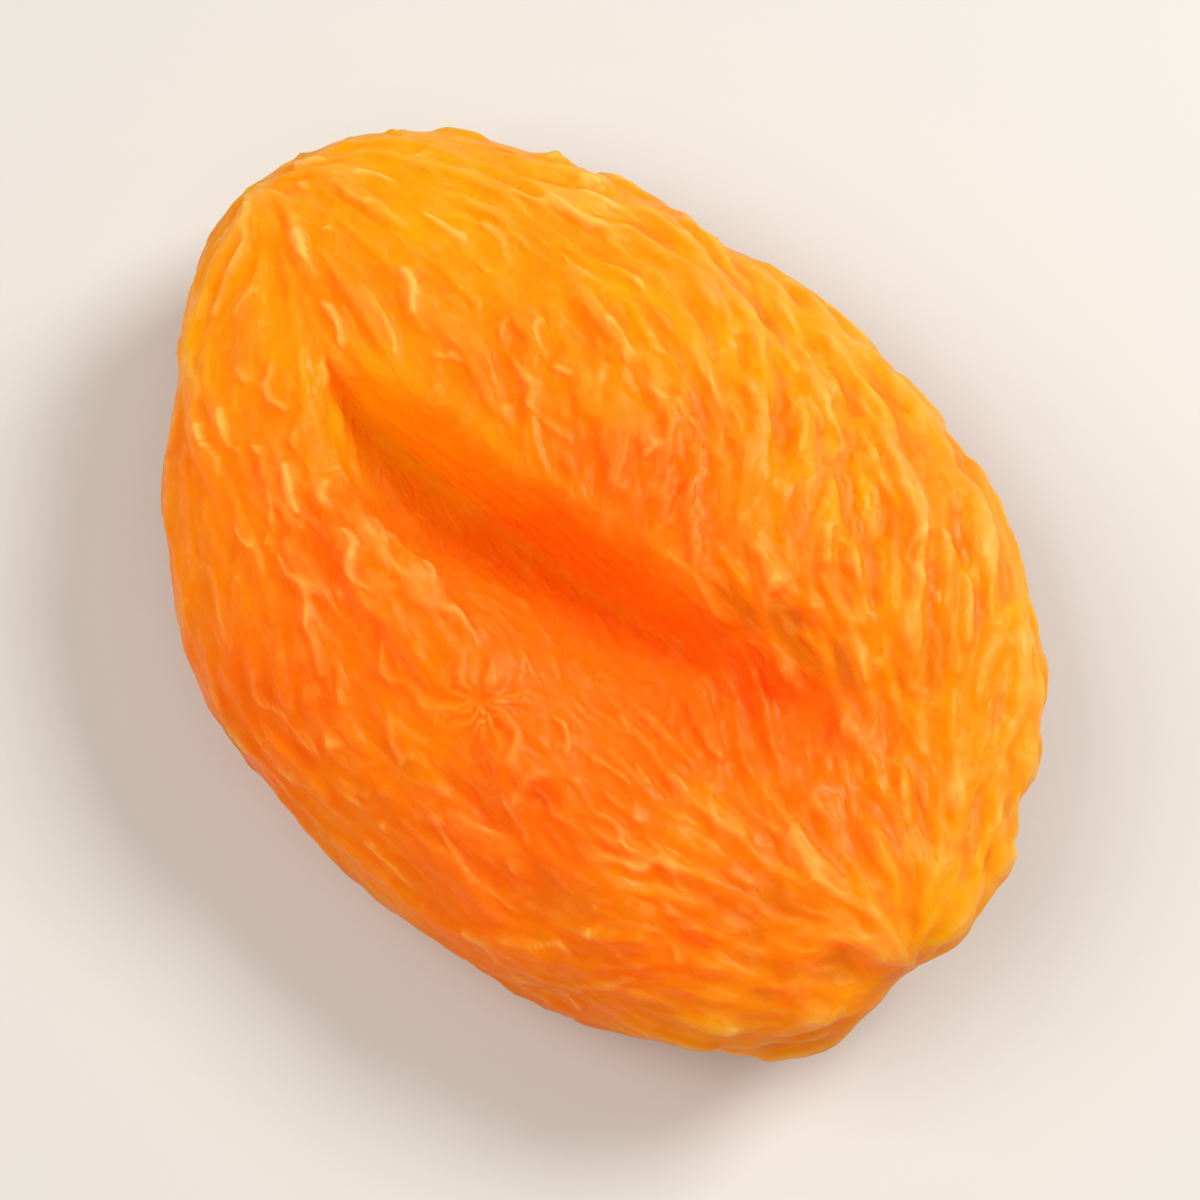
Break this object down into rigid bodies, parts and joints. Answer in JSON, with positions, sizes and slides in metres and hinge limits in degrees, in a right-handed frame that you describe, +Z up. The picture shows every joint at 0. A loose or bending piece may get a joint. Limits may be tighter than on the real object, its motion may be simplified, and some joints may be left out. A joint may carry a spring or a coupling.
{
  "type": "dried apricot",
  "caption": "Pitted dried apricot: a plump wrinkled oval of orange fruit, lying with its open hollow up.",
  "frame": {"origin": "on the surface that the fruit lies on, under the middle of its outline", "axes": "+X towards the stem end, along the longest side; +Z up, away from the surface it rests on; the hollow opens to +Z"},
  "size_m": [0.041, 0.0296, 0.0111],
  "materials": {
    "dried_apricot": "satin, slightly sticky dried fruit skin and flesh, a little see-through at its thin edges"
  },
  "bodies": {
    "root": {"dried_apricot": "dried_apricot"}
  },
  "joints": []
}
